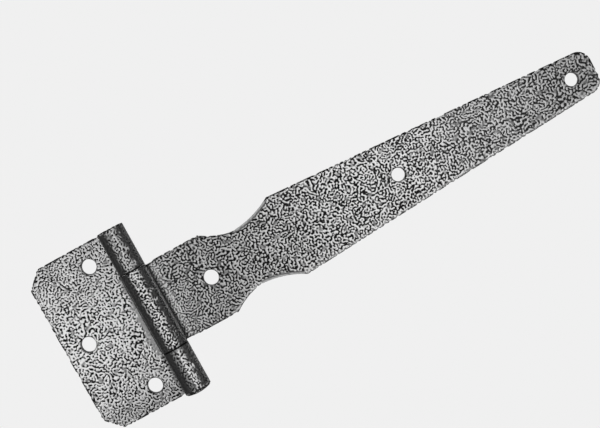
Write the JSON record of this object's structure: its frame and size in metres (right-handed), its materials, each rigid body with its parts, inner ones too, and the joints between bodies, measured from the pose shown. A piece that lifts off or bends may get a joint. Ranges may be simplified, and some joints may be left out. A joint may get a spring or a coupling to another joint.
{
  "type": "strap hinge",
  "caption": "Tee-shaped strap hinge of coated steel sheet: a rectangular leaf with cut corners, a long tapered strap with a waist, and rolled knuckles on a pin.",
  "frame": {"origin": "in the plane of the hinge's back, below the middle of the pin, where the strap's plate leaves its knuckle", "axes": "+X along the strap towards its tip, +Y along the pin away from its head, +Z out of the front, on which the knuckles stand proud"},
  "size_m": [0.25, 0.0773, 0.0116],
  "materials": {
    "leaf_coat": "veined antique silver powder coat",
    "strap_coat": "veined antique silver powder coat",
    "pin_coat": "veined antique silver powder coat"
  },
  "bodies": {
    "leaf_side": {"leaf": "leaf_coat", "pin": "pin_coat"},
    "strap_side": {"strap": "strap_coat"}
  },
  "joints": [
    {"name": "strap_swing", "type": "hinge", "parent": "leaf_side", "child": "strap_side", "pos_m": [0, 0, 0.0058], "axis": [0, -1, 0], "range_deg": [-90, 180]}
  ]
}
